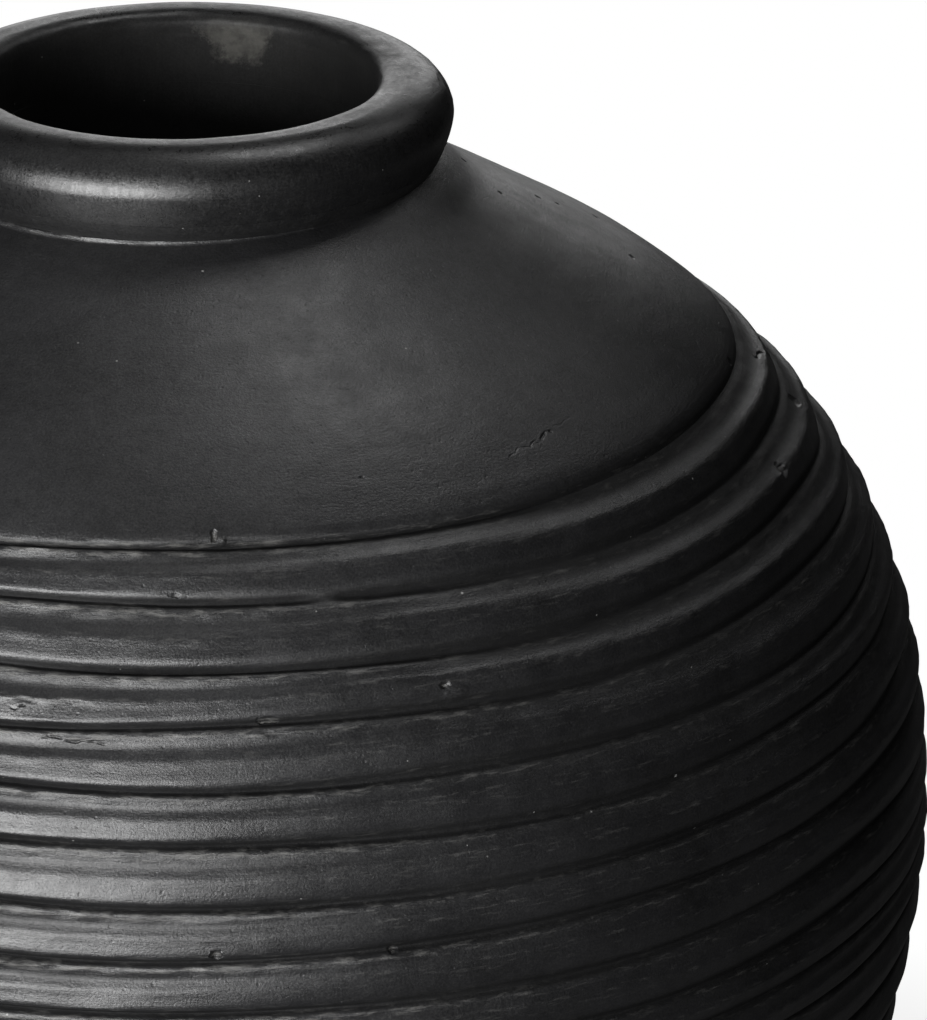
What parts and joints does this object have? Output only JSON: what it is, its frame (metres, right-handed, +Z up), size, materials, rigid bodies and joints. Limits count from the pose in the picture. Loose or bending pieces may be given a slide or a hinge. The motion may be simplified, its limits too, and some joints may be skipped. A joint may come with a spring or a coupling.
{
  "type": "ribbed clay jar",
  "caption": "Round-bellied black clay jar with a smooth domed shoulder, hand-tooled horizontal ribs, a short neck and a fat rolled rim.",
  "frame": {"origin": "centre of the flat face that the jar stands on", "axes": "+Z up along the axis of the jar, -Y towards the viewer of the front"},
  "size_m": [0.2612, 0.2612, 0.2632],
  "materials": {
    "burnished_black_clay": "low-fired black clay, burnished by hand to a satin, with fine scuffs",
    "bare_black_clay": "low-fired black clay, matte and unburnished, worn where it stands"
  },
  "bodies": {
    "root": {"base_slab": "bare_black_clay", "foot_wall": "burnished_black_clay", "lower_wall": "burnished_black_clay", "belly_wall": "burnished_black_clay", "shoulder_dome": "burnished_black_clay", "neck_collar": "burnished_black_clay", "rim_roll": "burnished_black_clay"}
  },
  "joints": []
}
